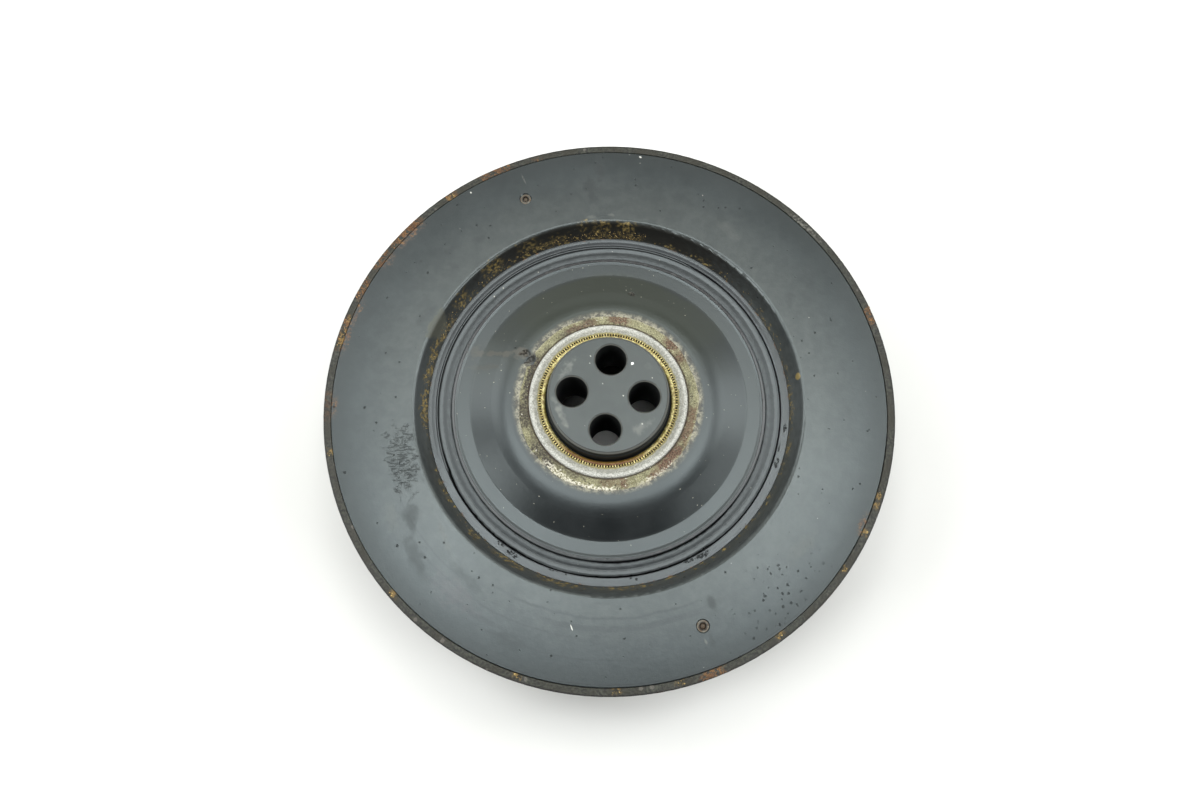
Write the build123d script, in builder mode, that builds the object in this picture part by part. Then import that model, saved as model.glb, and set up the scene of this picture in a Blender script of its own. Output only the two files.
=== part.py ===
"""Crankshaft vibration damper with a belt pulley.

Every ring is turned or drawn about Z, the crankshaft axis, and +Z points to the engine. Z = 0 is the
front rim of the pulley, on which the damper stands. A hub and its disc carry the rest through a rubber
ring. The closed housing holds a heavy ring that turns in silicone fluid. Sizes are in millimetres.
"""

from build123d import *
import os

os.makedirs("parts", exist_ok=True)

# Belt pulley: V-grooves for a multi-rib belt between two low flanges
rib_count = 7
rib_pitch = 3.56
groove_depth = 2.7
groove_floor = 0.7  # flat at the bottom of each groove
groove_mouth = 2.66  # width over the crests
belt_radius = 80.0  # over the rib crests
flange_height = 2.0
flange_width = 2.54
flange_tip = 1.3
rim_wall = 3.6  # metal behind the groove floors
web_wall = 4.0
seat_step = 1.0  # lifts the housing off the rear flange
seat_shoulder = 1.5  # of the seat inside the rib crests

# Neck of the pulley, which the housing is pressed on and which holds the rubber
neck_radius = 64.1
neck_wall = 3.0
neck_depth = 7.3  # below the cover face

# Damper housing and its cover
damper_radius = 99.0
housing_depth = 27.0
housing_corner = 5.0
outer_wall = 5.6
inner_wall = 3.2
floor_wall = 3.6
cavity_fillet = 1.5
rim_width = 2.6  # bare end of the outer wall, round the cover
cover_wall = 3.6
cover_edge = 0.35  # rounding where the cover meets the housing's rim
cover_slip = 0.05
lip_width = 4.35  # from the neck to where the flat face begins
lip_bend = 1.6
lip_bend_angle = 75.0
lip_seat = 7.4  # depth at which the lip meets the neck
lip_end = 10.6

# Plugs that seal the two filling holes, opposite each other
plug_inset = 13.45  # of the plugs' circle from the cover's edge
plug_angles = {"fill": 116.0, "vent": 296.0}
plug_radius = 1.95
plug_ball_radius = 1.1
plug_mouth = 0.35  # countersink round each plug
plug_recess = 0.45
plug_length = 3.0

# Inertia ring, its plastic bush and its two thrust rings
ring_side_gap = 0.6  # above and below the ring
ring_rim_gap = 0.4
bush_gap = 0.3
bush_wall = 1.8
bush_foot = 2.4  # the bush starts above the ring's front face
bush_drop = 8.4  # top of the bush below the cover face
ring_mouth = 2.8  # chamfer that clears the cover's lip
ring_chamfer = 0.8
thrust_width = 10.0
thrust_groove = 0.6
thrust_gap = 0.3

# Rubber ring between the pulley's neck and the hub disc
rubber_gap = 0.3  # open crack along the neck
rubber_wall = 5.2
rubber_depth = 7.6  # its rear face below the cover face
rubber_lift = 2.0  # its front face above the pulley's web
rubber_bevel = 0.7
sleeve_wall = 1.0
sleeve_depth = 6.8
sleeve_lift = 1.6

# Hub disc: steel sheet, drawn to a shallow cone with a rim turned forward
disc_sheet = 4.0
disc_depth = 3.3  # its flat middle below the cover face
disc_margin = 10.1  # flat surface round the collar ring
cone_bend = 24.0
band_width = 5.6
band_depth = 6.9
rim_bend = 1.2
rim_edge = 0.25
rim_lift = 2.0

# Hub and the rings round its boss
boss_radius = 21.0
boss_height = 4.3  # above the cover face
boss_chamfer = 0.7
boss_step = 0.4
boss_step_height = 0.9
shoulder_gap = 0.7
shoulder_depth = 5.5
hub_length = 23.7
hub_flange_margin = 4.1  # of the flange outside the collar ring
hub_chamfer = 2.0
bolt_count = 4
bolt_circle = 12.5
bolt_hole = 5.5
bolt_hole_chamfer = 0.4
knurl_wall = 1.8
knurl_depth = 2.35
knurl_bevel = 0.35
knurl_flare = 0.8
collar_width = 4.0
collar_depth = 2.3
collar_round = 0.8

# Levels and radii that follow from the sizes above
pulley_width = rib_count * rib_pitch + 2 * flange_width
seat_z = pulley_width + seat_step
web_z = seat_z - web_wall
face_z = seat_z + housing_depth
flange_radius = belt_radius + flange_height
seat_radius = belt_radius - seat_shoulder
rim_bore = belt_radius - groove_depth - rim_wall
neck_bore = neck_radius - neck_wall
floor_z = seat_z + floor_wall
roof_z = face_z - cover_wall
core_radius = neck_radius + inner_wall
cavity_radius = damper_radius - outer_wall
rebate_radius = damper_radius - rim_width
cover_radius = rebate_radius - cover_slip
lip_top = neck_radius + lip_width
plug_circle = cover_radius - plug_inset
plug_top = face_z - plug_recess
bush_bore = core_radius + bush_gap
ring_bore = bush_bore + bush_wall
ring_radius = cavity_radius - ring_rim_gap
ring_bottom = floor_z + ring_side_gap
ring_top = roof_z - ring_side_gap
bush_front = ring_bottom + bush_foot
thrust_radius = (ring_bore + ring_radius - thrust_width) / 2
rubber_radius = neck_bore - rubber_gap - rubber_wall
rim_radius = rubber_radius - sleeve_wall
cone_radius = rim_radius - band_width
disc_top = face_z - disc_depth
disc_underside = disc_top - disc_sheet
band_z = face_z - band_depth
hub_top = face_z + boss_height
hub_seat = hub_top - hub_length
step_radius = boss_radius + boss_step
shoulder_radius = step_radius + shoulder_gap
knurl_radius = shoulder_radius + knurl_wall
collar_radius = knurl_radius + collar_width
hub_flange = collar_radius + hub_flange_margin
disc_flat = collar_radius + disc_margin
disc_bend = min(cone_bend, 2 * (cone_radius - disc_flat))


# ---- belt_pulley: steel turning. Grooved rim, web, and a neck towards the engine ----
with BuildPart() as belt_pulley:
    with BuildSketch(Plane.XZ):
        with BuildLine():
            FilletPolyline(
                (rim_bore, 0),
                (flange_radius, 0),
                (flange_radius, flange_tip),
                (belt_radius, flange_width),
                (belt_radius, pulley_width - flange_width),
                (flange_radius, pulley_width - flange_tip),
                (flange_radius, pulley_width),
                (seat_radius, pulley_width),
                (seat_radius, seat_z),
                (neck_radius, seat_z),
                (neck_radius, face_z - neck_depth),
                (neck_bore, face_z - neck_depth),
                (neck_bore, web_z),
                (rim_bore, web_z),
                radius=[1.0, 0.4, 0.4, 0, 0, 0.4, 0.4, 0, 0.3, 0, 0.2, 0.3, 0.8, 3.0],
                close=True,
            )
        make_face()
    revolve(axis=Axis.Z)
    with BuildSketch(Plane.XZ):
        with Locations((belt_radius, pulley_width / 2)):
            with GridLocations(0, rib_pitch, 1, rib_count):
                Polygon(
                    (1, groove_mouth / 2),
                    (0, groove_mouth / 2),
                    (-groove_depth, groove_floor / 2),
                    (-groove_depth, -groove_floor / 2),
                    (0, -groove_mouth / 2),
                    (1, -groove_mouth / 2),
                    align=None,
                )
    revolve(axis=Axis.Z, mode=Mode.SUBTRACT)
belt_pulley.part.label = "belt_pulley"
export_step(belt_pulley.part, "parts/belt_pulley.step")


# ---- damper_housing: drawn and turned steel channel, open towards the engine ----
with BuildPart() as damper_housing:
    with BuildSketch(Plane.XZ):
        with BuildLine():
            FilletPolyline(
                (neck_radius, seat_z),
                (damper_radius, seat_z),
                (damper_radius, face_z),
                (rebate_radius, face_z),
                (rebate_radius, roof_z),
                (cavity_radius, roof_z),
                (cavity_radius, floor_z),
                (core_radius, floor_z),
                (core_radius, face_z - lip_end),
                (neck_radius, face_z - lip_end),
                radius=[0.5, housing_corner, 0.4, 0.2, 0, 0, cavity_fillet, cavity_fillet, 0, 0],
                close=True,
            )
        make_face()
    revolve(axis=Axis.Z)
damper_housing.part.label = "damper_housing"
export_step(damper_housing.part, "parts/damper_housing.step")


# ---- housing_cover: flat pressed ring whose inner lip is drawn down on to the neck ----
with BuildPart() as housing_cover:
    with BuildSketch(Plane(origin=(0, 0, face_z), x_dir=(1, 0, 0), z_dir=(0, -1, 0))):
        with BuildLine():
            edge = RadiusArc((cover_radius, -cover_edge), (cover_radius - cover_edge, 0), -cover_edge)
            flat = Line(edge @ 1, (lip_top, 0))
            bend = JernArc(flat @ 1, flat % 1, radius=lip_bend, arc_size=lip_bend_angle)
            wall = TangentArc(bend @ 1, (neck_radius, -lip_seat), tangent=bend % 1)
            Polyline(
                wall @ 1,
                (neck_radius, -lip_end),
                (core_radius, -lip_end),
                (core_radius, -lip_seat - cover_edge),
                (lip_top + lip_bend / 2, -cover_wall),
                (cover_radius, -cover_wall),
                edge @ 0,
            )
        make_face()
    revolve(axis=Axis.Z)
    with Locations((0, 0, face_z)):
        for angle in plug_angles.values():
            with PolarLocations(plug_circle, 1, start_angle=angle):
                CounterSinkHole(plug_radius, plug_radius + plug_mouth, cover_wall, 90)
housing_cover.part.label = "housing_cover"
export_step(housing_cover.part, "parts/housing_cover.step")


# ---- fill and vent plugs: a steel cup with a ball pressed in, which expands it in the hole ----
for plug, angle in plug_angles.items():
    with BuildPart() as plug_sleeve:
        with BuildSketch(Plane.XY.offset(plug_top)):
            with PolarLocations(plug_circle, 1, start_angle=angle):
                Circle(plug_radius)
        extrude(amount=-plug_length)
        with Locations((0, 0, plug_top)):
            with PolarLocations(plug_circle, 1, start_angle=angle):
                Hole(plug_ball_radius, depth=2 * plug_ball_radius)
    plug_sleeve.part.label = f"{plug}_plug_sleeve"
    export_step(plug_sleeve.part, f"parts/{plug}_plug_sleeve.step")

    with BuildPart() as plug_ball:
        with Locations((0, 0, plug_top - plug_ball_radius)):
            with PolarLocations(plug_circle, 1, start_angle=angle):
                Sphere(plug_ball_radius)
    plug_ball.part.label = f"{plug}_plug_ball"
    export_step(plug_ball.part, f"parts/{plug}_plug_ball.step")


# ---- inertia_ring: turned iron ring with a groove in each face for a thrust ring ----
with BuildPart() as inertia_ring:
    with BuildSketch(Plane.XZ):
        with BuildLine():
            FilletPolyline(
                (ring_bore, ring_bottom),
                (ring_radius, ring_bottom),
                (ring_radius, ring_top),
                (ring_bore + ring_mouth, ring_top),
                (ring_bore, ring_top - ring_mouth),
                radius=[ring_chamfer, cavity_fillet + ring_chamfer, ring_chamfer, 0, 0],
                close=True,
            )
        make_face()
    revolve(axis=Axis.Z)
    for groove_z in (ring_bottom, ring_top - thrust_groove):
        with BuildSketch(Plane.XY.offset(groove_z)):
            Circle(thrust_radius + thrust_width)
            Circle(thrust_radius, mode=Mode.SUBTRACT)
        extrude(amount=thrust_groove, mode=Mode.SUBTRACT)
inertia_ring.part.label = "inertia_ring"
export_step(inertia_ring.part, "parts/inertia_ring.step")


# ---- radial_bush: plastic sleeve in the ring's bore, running on the housing's inner wall ----
with BuildPart() as radial_bush:
    with BuildSketch(Plane.XY.offset(bush_front)):
        Circle(ring_bore)
        Circle(bush_bore, mode=Mode.SUBTRACT)
    extrude(amount=face_z - bush_drop - bush_front)
radial_bush.part.label = "radial_bush"
export_step(radial_bush.part, "parts/radial_bush.step")


# ---- thrust rings: flat plastic rings that stand proud of the inertia ring's two faces ----
thrust_thickness = thrust_groove + ring_side_gap - thrust_gap
thrust_levels = {
    "front": ring_bottom + thrust_groove - thrust_thickness,
    "rear": ring_top - thrust_groove,
}
for side, level in thrust_levels.items():
    with BuildPart() as thrust_ring:
        with BuildSketch(Plane.XY.offset(level)):
            Circle(thrust_radius + thrust_width)
            Circle(thrust_radius, mode=Mode.SUBTRACT)
        extrude(amount=thrust_thickness)
    thrust_ring.part.label = f"thrust_ring_{side}"
    export_step(thrust_ring.part, f"parts/thrust_ring_{side}.step")


# ---- isolator_rubber: ring bonded to its inner sleeve, with a crack left open along the neck ----
with BuildPart() as isolator_rubber:
    with BuildSketch(Plane.XZ):
        Polygon(
            (rubber_radius, web_z + rubber_lift),
            (neck_bore - rubber_gap, web_z + rubber_lift),
            (neck_bore - rubber_gap, face_z - rubber_depth),
            (rubber_radius, face_z - rubber_depth),
            align=None,
        )
        chamfer(vertices(), rubber_bevel)
    revolve(axis=Axis.Z)
isolator_rubber.part.label = "isolator_rubber"
export_step(isolator_rubber.part, "parts/isolator_rubber.step")


# ---- isolator_sleeve: thin steel sleeve in the rubber's bore, pressed on the disc's rim ----
with BuildPart() as isolator_sleeve:
    with BuildSketch(Plane.XZ):
        with BuildLine():
            FilletPolyline(
                (rim_radius, web_z + sleeve_lift),
                (rubber_radius, web_z + sleeve_lift),
                (rubber_radius, face_z - sleeve_depth),
                (rim_radius, face_z - sleeve_depth),
                radius=[0.3, 0.3, 0.3, 0.2],
                close=True,
            )
        make_face()
    revolve(axis=Axis.Z)
isolator_sleeve.part.label = "isolator_sleeve"
export_step(isolator_sleeve.part, "parts/isolator_sleeve.step")


# ---- hub_disc: flat middle, shallow cone, flat band and a rim turned forward, all one sheet ----
with BuildPart() as hub_disc:
    with BuildSketch(Plane.XZ):
        with BuildLine():
            FilletPolyline(
                (knurl_radius, disc_top),
                (disc_flat, disc_top),
                (cone_radius, band_z),
                (rim_radius, band_z),
                (rim_radius, web_z + rim_lift),
                (rim_radius - disc_sheet, web_z + rim_lift),
                (rim_radius - disc_sheet, band_z - disc_sheet),
                (cone_radius - rim_bend, band_z - disc_sheet),
                (disc_flat - rim_bend, disc_underside),
                (knurl_radius, disc_underside),
                radius=[0.2, disc_bend, rim_bend, rim_edge, 0.4, 0.4, rim_bend, 0, disc_bend, 0],
                close=True,
            )
        make_face()
    revolve(axis=Axis.Z)
hub_disc.part.label = "hub_disc"
export_step(hub_disc.part, "parts/hub_disc.step")


# ---- hub: forged boss and flange with four bolt holes, seated against the crankshaft's end ----
with BuildPart() as hub:
    with BuildSketch(Plane.XZ):
        with BuildLine():
            Polyline(
                (0, hub_seat),
                (hub_flange - hub_chamfer, hub_seat),
                (hub_flange, hub_seat + hub_chamfer),
                (hub_flange, disc_underside),
                (shoulder_radius, disc_underside),
                (shoulder_radius, face_z - shoulder_depth),
                (step_radius, face_z - shoulder_depth),
                (step_radius, face_z + boss_step_height),
                (boss_radius, face_z + boss_step_height + boss_step),
                (boss_radius, hub_top - boss_chamfer),
                (boss_radius - boss_chamfer, hub_top),
                (0, hub_top),
                close=True,
            )
        make_face()
    revolve(axis=Axis.Z)
    with Locations((0, 0, hub_top)):
        with PolarLocations(bolt_circle, bolt_count):
            Hole(bolt_hole, depth=hub_length)
    chamfer(
        edges().filter_by(lambda rim: rim.geom_type == GeomType.CIRCLE and rim.radius < bolt_hole + 0.01),
        bolt_hole_chamfer,
    )
hub.part.label = "hub"
export_step(hub.part, "parts/hub.step")


# ---- knurled_sleeve: pressed on the hub's shoulder; its knurl bites in the disc and the collar ----
with BuildPart() as knurled_sleeve:
    with BuildSketch(Plane.XZ):
        with BuildLine():
            FilletPolyline(
                (shoulder_radius, disc_underside),
                (knurl_radius, disc_underside),
                (knurl_radius, face_z - knurl_depth - knurl_bevel),
                (knurl_radius - knurl_bevel, face_z - knurl_depth),
                (shoulder_radius, face_z - knurl_depth),
                radius=[0, 0, 0, 0, knurl_flare],
                close=True,
            )
        make_face()
    revolve(axis=Axis.Z)
knurled_sleeve.part.label = "knurled_sleeve"
export_step(knurled_sleeve.part, "parts/knurled_sleeve.step")


# ---- collar_ring: plated clamp ring with a rounded outer edge, lying on the disc ----
with BuildPart() as collar_ring:
    with BuildSketch(Plane.XZ):
        with BuildLine():
            FilletPolyline(
                (knurl_radius, disc_top),
                (collar_radius, disc_top),
                (collar_radius, face_z - collar_depth),
                (knurl_radius + knurl_bevel, face_z - collar_depth),
                (knurl_radius, face_z - collar_depth - knurl_bevel),
                radius=[0, 0, collar_round, 0, 0],
                close=True,
            )
        make_face()
    revolve(axis=Axis.Z)
collar_ring.part.label = "collar_ring"
export_step(collar_ring.part, "parts/collar_ring.step")
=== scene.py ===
"""Looks of the crankshaft vibration damper: finishes, wear, torn rubber, crust, rust and the studio."""
import math

import bmesh
import bpy
from mathutils import Matrix, Vector, noise
from mathutils.bvhtree import BVHTree


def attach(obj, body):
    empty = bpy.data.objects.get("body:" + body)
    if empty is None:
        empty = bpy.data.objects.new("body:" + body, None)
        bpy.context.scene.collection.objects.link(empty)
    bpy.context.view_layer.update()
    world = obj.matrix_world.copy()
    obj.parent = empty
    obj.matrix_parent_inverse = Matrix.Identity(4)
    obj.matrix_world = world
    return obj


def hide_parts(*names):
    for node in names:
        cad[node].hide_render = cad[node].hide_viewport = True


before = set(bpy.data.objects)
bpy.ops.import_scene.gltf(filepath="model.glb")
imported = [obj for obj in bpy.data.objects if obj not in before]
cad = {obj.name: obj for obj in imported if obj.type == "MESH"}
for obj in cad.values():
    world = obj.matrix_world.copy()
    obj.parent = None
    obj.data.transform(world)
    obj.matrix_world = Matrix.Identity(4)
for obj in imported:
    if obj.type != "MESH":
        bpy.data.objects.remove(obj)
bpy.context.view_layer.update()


# ---- Belt pulley ----
# A steel turning with seven V-grooves, which the housing's neck is part of. Its thin black coating
# is rubbed grey on the rib crests by the belt, and brown rust sits in the bottoms of the grooves.

MM = 1000


def srgb(red, green, blue):
    """A colour given as 0-255 screen values, as the linear RGBA that a socket takes."""
    return (*(((c / 255 + 0.055) / 1.055) ** 2.4 if c > 10 else c / 3294.6 for c in (red, green, blue)), 1)


class Wire:
    """A node's output. Sums with it add Math nodes, and wire["Name"] is another output of its node."""

    def __init__(self, socket):
        self.socket = socket

    def __getitem__(self, name):
        return Wire(self.socket.node.outputs[name])

    def __add__(self, other):
        return calc("ADD", self, other)

    def __radd__(self, other):
        return calc("ADD", other, self)

    def __sub__(self, other):
        return calc("SUBTRACT", self, other)

    def __rsub__(self, other):
        return calc("SUBTRACT", other, self)

    def __mul__(self, other):
        return calc("MULTIPLY", self, other)


def add(kind, inputs=(), **settings):
    """Adds a node to the tree that is being built. Each input takes a value or the wire that feeds it."""
    made = tree.nodes.new(kind)
    for name, value in settings.items():
        setattr(made, name, value)
    for key, value in dict(inputs).items():
        if isinstance(value, Wire):
            tree.links.new(value.socket, made.inputs[key])
        else:
            made.inputs[key].default_value = value
    return Wire(made.outputs[0])


def calc(operation, *values, clamp=False):
    return add("ShaderNodeMath", enumerate(values), operation=operation, use_clamp=clamp)


def ease(value, low, high, start=0, end=1):
    """A smooth change from start to end while the value goes from low to high."""
    inputs = {0: value, 1: low, 2: high, 3: start, 4: end}
    return add("ShaderNodeMapRange", inputs, interpolation_type="SMOOTHSTEP")


def blend(share, under, over):
    """One colour laid over another. Each is a wire or three 0-255 screen values."""
    under, over = (tone if isinstance(tone, Wire) else srgb(*tone) for tone in (under, over))
    return add("ShaderNodeMix", {0: share, 6: under, 7: over}, data_type="RGBA")[2]


def most(*masks):
    """Joins masks: the strongest one at each place."""
    joined = masks[0]
    for mask in masks[1:]:
        joined = calc("MAXIMUM", joined, mask)
    return joined


def new_group(name, inputs, family="Shader"):
    """Starts a node group. Each named input is given as its default value or as its kind of socket."""
    group = bpy.data.node_groups.new(name, family + "NodeTree")
    for label, value in inputs.items():
        kind = value if isinstance(value, str) else "Vector" if isinstance(value, tuple) else "Float"
        socket = group.interface.new_socket(label, in_out="INPUT", socket_type="NodeSocket" + kind)
        if kind != value:
            socket.default_value = value
    return group, Wire(group.nodes.new("NodeGroupInput").outputs[0])


def give_out(**results):
    """Ends a node group with its named outputs."""
    for label, wire in results.items():
        tree.interface.new_socket(label, in_out="OUTPUT", socket_type=wire.socket.bl_idname)
    end = tree.nodes.new("NodeGroupOutput")
    for label, wire in results.items():
        tree.links.new(wire.socket, end.inputs[label])


def use(group, **inputs):
    """Places a node group."""
    return add("ShaderNodeGroup", inputs, node_tree=bpy.data.node_groups[group])


def vector(operation, *values):
    return add("ShaderNodeVectorMath", enumerate(values), operation=operation)


def new_material(name, **uniform):
    """A material with one Principled BSDF. The values given here are the same all over the piece."""
    made = bpy.data.materials.new(name)
    made.use_nodes = True
    for label, value in uniform.items():
        made.node_tree.nodes["Principled BSDF"].inputs[label.replace("_", " ")].default_value = value
    return made, made.node_tree


def finish_skin(colour, rough, height, depth):
    """Wires colour, roughness and a bump of the given depth in metres."""
    skin = tree.nodes["Principled BSDF"].inputs
    bump = add("ShaderNodeBump", {"Height": height, "Distance": depth, "Strength": 1})
    for name, wire in (("Base Color", colour), ("Roughness", rough), ("Normal", bump)):
        tree.links.new(wire.socket, skin[name])


def dress(node, material):
    """Gives a CAD node its material."""
    cad[node].data.materials.clear()
    cad[node].data.materials.append(material)


# Where a point lies on a turned piece: radius and height in mm, angle in degrees, and a vector that
# follows the turning, so that a pattern read with it runs round the axis.
tree, given = new_group("turned_place", {"Turns": 6})
spot = add("ShaderNodeTexCoord")["Object"]
facing = add("ShaderNodeSeparateXYZ", {0: spot["Normal"]})[2]
xyz = add("ShaderNodeSeparateXYZ", {0: spot})
height = xyz[2] * MM
radius = vector("LENGTH", vector("MULTIPLY", spot, (MM, MM, 0)))["Value"]
angle = calc("ARCTAN2", xyz[1], xyz[0])
around = [calc(turn, angle) * given["Turns"] for turn in ("COSINE", "SINE")]
lay = add("ShaderNodeCombineXYZ", {0: radius + height, 1: around[0], 2: around[1]})
give_out(Radius=radius, Angle=calc("WRAP", calc("DEGREES", angle), 360, 0), Height=height,
         Upward=ease(facing, 0, 0.15), Lay=lay)

# Uneven patches: noise with a grain in mm, stretched between two levels.
tree, given = new_group("mottle", {"Grain": 10, "Detail": 4, "Low": 0.4, "High": 0.6, "Shift": 0})
place = vector("MULTIPLY_ADD", add("ShaderNodeTexCoord")["Object"], (MM, MM, MM), given["Shift"])
texture = add("ShaderNodeTexNoise", {"Vector": place, "Detail": given["Detail"],
                                     "Scale": calc("DIVIDE", 1, given["Grain"])})
give_out(Value=ease(texture, given["Low"], given["High"]))


def mottle(grain, low, high, detail=4, shift=0):
    return use("mottle", Grain=grain, Low=low, High=high, Detail=detail, Shift=shift)


# Separate specks, in a share of the cells of a pattern, each with its own size.
tree, given = new_group("specks", {"Pitch": 2, "Size": 0.25, "Share": 0.3, "Shift": 0})
place = vector("MULTIPLY_ADD", add("ShaderNodeTexCoord")["Object"], (MM, MM, MM), given["Shift"])
wander = add("ShaderNodeTexNoise", {"Vector": place, "Scale": 1.7, "Detail": 2})["Color"]
place = vector("MULTIPLY_ADD", wander, (0.7, 0.7, 0.7), place)
cells = add("ShaderNodeTexVoronoi", {"Vector": place, "Scale": calc("DIVIDE", 1, given["Pitch"])})
tones = add("ShaderNodeSeparateColor", {0: cells["Color"]})
reach = given["Size"] * (0.35 + tones[1])
inside = ease(cells["Distance"] - reach, 0.05, -0.03)
give_out(Mask=inside * calc("LESS_THAN", tones[0], given["Share"]))


def speckle(pitch, size, share, shift=0):
    return use("specks", Pitch=pitch, Size=size, Share=share, Shift=shift)


# A band round the axis, or an arc of one, with soft or ragged borders.
tree, given = new_group("arc_band", {"Inner": 10, "Outer": 20, "Edge": 0.5, "Middle": 0, "Half": 400,
                                     "Fade": 2, "Ragged": 0, "Grain": 2})
here = use("turned_place")
rough_edge = mottle(given["Grain"], 0.2, 0.8, 5) - 0.5
radius = here["Radius"] + rough_edge * given["Ragged"]
edge = given["Edge"] * 0.5
rise = ease(radius - given["Inner"], edge * -1, edge)
fall = ease(radius - given["Outer"], edge, edge * -1)
turn = calc("WRAP", here["Angle"] - given["Middle"], 180, -180)
turn = calc("ABSOLUTE", turn) + rough_edge * given["Fade"]
ends = ease(turn - given["Half"], given["Fade"], given["Fade"] * -1)
give_out(Mask=rise * fall * ends)


def band(inner, outer, edge, **arc):
    return use("arc_band", Inner=inner, Outer=outer, Edge=edge, **arc)


def arc_marks(rows, **border):
    """Joins arcs. Each row is the inner and outer radius, the middle and half angle, and the strength."""
    return most(*(use("arc_band", Inner=inner, Outer=outer, Middle=middle, Half=half, **border) * strength
                  for inner, outer, middle, half, strength in rows))


# One oval patch at a place on a face, turned and ragged: smears, rubbed places, single scratches.
tree, given = new_group("patch", {"Centre": (0, 0, 0), "Turn": 0, "Length": 5, "Width": 3, "Soft": 0.6,
                                  "Ragged": 0.3})
place = vector("MULTIPLY_ADD", add("ShaderNodeTexCoord")["Object"], (MM, MM, 0), (0, 0, 0))
offset = vector("SUBTRACT", place, given["Centre"])
turned = add("ShaderNodeVectorRotate", {"Vector": offset, "Angle": calc("RADIANS", given["Turn"] * -1)},
             rotation_type="Z_AXIS")
xyz = add("ShaderNodeSeparateXYZ", {0: turned})
along = calc("DIVIDE", xyz[0], given["Length"] * 0.5)
across = calc("DIVIDE", xyz[1], given["Width"] * 0.5)
reach = calc("SQRT", along * along + across * across)
reach = reach + (mottle(2.5, 0.2, 0.8, 5) - 0.5) * given["Ragged"] * 2
give_out(Mask=ease(reach, 1, 1 - given["Soft"]))


def oval(radius, angle, turn, length, width, soft, ragged):
    """A patch on the face, placed by its radius and angle and turned from that radius."""
    centre = (radius * math.cos(math.radians(angle)), radius * math.sin(math.radians(angle)), 0)
    return use("patch", Centre=centre, Turn=angle + turn, Length=length, Width=width, Soft=soft,
               Ragged=ragged)


def oval_marks(rows, soft, ragged):
    """Joins patches. Each row is the radius, angle, turn, length, width and strength."""
    return most(*(oval(*row[:5], soft, ragged) * row[5] for row in rows))


# Fine marks of the lathe tool.
tree, given = new_group("turning_marks", {"Fineness": 6, "Turns": 3})
stretch = add("ShaderNodeCombineXYZ", {0: given["Fineness"], 1: 1, 2: 1})
place = vector("MULTIPLY", use("turned_place", Turns=given["Turns"])["Lay"], stretch)
give_out(Value=add("ShaderNodeTexNoise", {"Vector": place, "Scale": 1, "Detail": 3}))

# Fine straight strokes, all in one direction: noise drawn out along it.
tree, given = new_group("strokes", {"Turn": 0, "Long": 3, "Thin": 0.5, "Low": 0.52, "High": 0.6})
spot = add("ShaderNodeTexCoord")["Object"]
turned = add("ShaderNodeVectorRotate", {"Vector": spot, "Angle": calc("RADIANS", given["Turn"] * -1)},
             rotation_type="Z_AXIS")
squeeze = add("ShaderNodeCombineXYZ", {0: calc("DIVIDE", MM, given["Long"]),
                                       1: calc("DIVIDE", MM, given["Thin"])})
texture = add("ShaderNodeTexNoise", {"Vector": vector("MULTIPLY", turned, squeeze), "Scale": 1, "Detail": 2})
give_out(Mask=ease(texture, given["Low"], given["High"]))

# Rust: dark brown, orange brown and ochre grains, with the height of its scale.
tree, given = new_group("rust", {"Grain": 1.2, "Fresh": 0.5})
coarse = mottle(given["Grain"] * 3, 0.35, 0.65, 3)
fine = mottle(given["Grain"], 0.3, 0.7, 8, 31)
grain = mottle(given["Grain"] * 0.35, 0.35, 0.65, 2, 7)
colour = blend(fine, (54, 40, 30), (108, 74, 44))
colour = blend(coarse * fine * given["Fresh"], colour, (160, 116, 58))
colour = blend(grain * 0.45, colour, (44, 34, 30))
give_out(Color=colour, Height=fine * 0.6 + grain * 0.4)

groove_floor_radius, rib_crest_radius = 77.3, 80
pulley_steel, tree = new_material("pulley_steel", IOR=1.5, Specular_Tint=(0.9, 1, 1, 1))
here = use("turned_place")
dust = mottle(9, 0.35, 0.75)
colour = blend(dust, (30, 31, 34), (52, 53, 55))
rust = use("rust", Grain=0.9, Fresh=0.4)
on_ribs = ease(here["Radius"], 74.5, 76) * ease(here["Height"], 30.2, 29.4)
in_groove = on_ribs * ease(here["Radius"], groove_floor_radius + 0.9, groove_floor_radius)
rubbed = on_ribs * ease(here["Radius"], rib_crest_radius - 2.2, rib_crest_radius - 0.2)
streaks = use("turning_marks", Fineness=7, Turns=10)
worn = rubbed * ease(streaks, 0.35, 0.6)
colour = blend(worn * 0.75, colour, (122, 120, 116))
neck_end = band(61, 64.4, 0.2)
shreds = oval_marks([(62, 305, 90, 6.4, 1.9, 1), (61.6, 300.5, 90, 4, 1, 1), (62.6, 355.6, 90, 3, 1.3, 1),
                     (62.5, 344, 90, 3, 1.5, 1), (61.8, 349.5, 90, 3, 0.9, 1), (62.2, 243, 90, 4.2, 1.7, 1),
                     (61.7, 238, 90, 3.4, 1, 1), (61.5, 256, 90, 4, 0.8, 1)], 0.35, 0.95)
foot_rust = band(63.7, 65, 0.3, Ragged=0.7, Grain=1.5) * mottle(3, 0.54, 0.64, 6, 3)
rusty = most(in_groove * mottle(5, 0.42, 0.6), foot_rust)
colour = blend(rusty, colour, rust["Color"])
colour = blend(neck_end * 0.35, colour, (58, 61, 62))
pits = speckle(2.4, 0.12, 0.3)
shredded = mottle(0.7, 0.44, 0.54, 6, 52)
holes = most(pits, shreds * shredded) * neck_end
colour = blend(holes, colour, (4, 4, 4))
fold_radius, fold_half = 62.65, 0.85
dished = calc("MINIMUM", calc("ABSOLUTE", here["Radius"] - fold_radius), fold_half)
folded = band(61.2, 64.2, 0.4, Middle=117, Half=84, Fade=10)
dished = dished * 2.6 * folded * neck_end
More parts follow.
